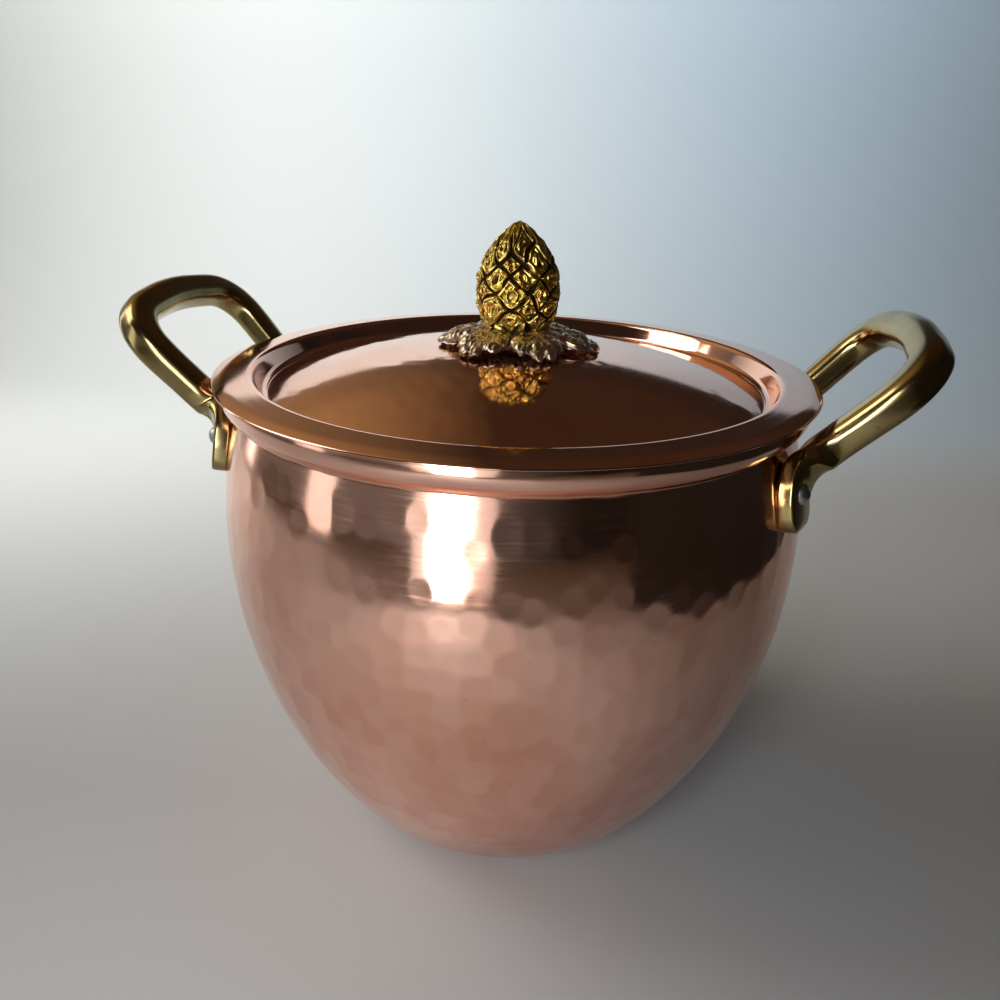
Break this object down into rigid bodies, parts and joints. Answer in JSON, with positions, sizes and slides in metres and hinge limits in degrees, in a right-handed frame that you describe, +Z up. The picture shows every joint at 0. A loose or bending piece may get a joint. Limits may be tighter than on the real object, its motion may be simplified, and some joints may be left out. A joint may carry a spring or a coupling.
{
  "type": "stockpot with lid",
  "caption": "Round-bellied lidded stockpot with a hammered wall, smooth rim band, riveted loop handles and a pine-cone lid knob on a leaf collar.",
  "frame": {"origin": "middle of the pot's flat underside, on the table", "axes": "+Z up the pot's axis, +X towards one loop handle and -X towards the other, +Y level and square to them; the lid is on"},
  "size_m": [0.328, 0.2514, 0.2725],
  "materials": {
    "copper": "copper, hammered and polished on the pot's wall, smooth and polished on the rim band and lid",
    "tin": "hand-wiped tin lining",
    "handle_brass": "cast brass, polished, slightly darkened",
    "leaf_brass": "cast brass, brownish silver patina",
    "cone_brass": "gilt cast brass with dark recesses",
    "rivet_steel": "plain steel"
  },
  "bodies": {
    "pot": {"pot_body": "copper", "pot_lining": "tin", "left_handle": "handle_brass", "right_handle": "handle_brass", "left_front_rivet": "rivet_steel", "left_rear_rivet": "rivet_steel", "right_front_rivet": "rivet_steel", "right_rear_rivet": "rivet_steel"},
    "lid": {"lid_body": "copper", "lid_lining": "tin", "leaf_rosette": "leaf_brass", "pine_cone": "cone_brass", "knob_screw": "rivet_steel", "knob_washer": "rivet_steel"}
  },
  "joints": [
    {"name": "lid_lift", "type": "slide", "parent": "pot", "child": "lid", "axis": [0, 0, 1], "range_m": [0, 0.06]}
  ]
}
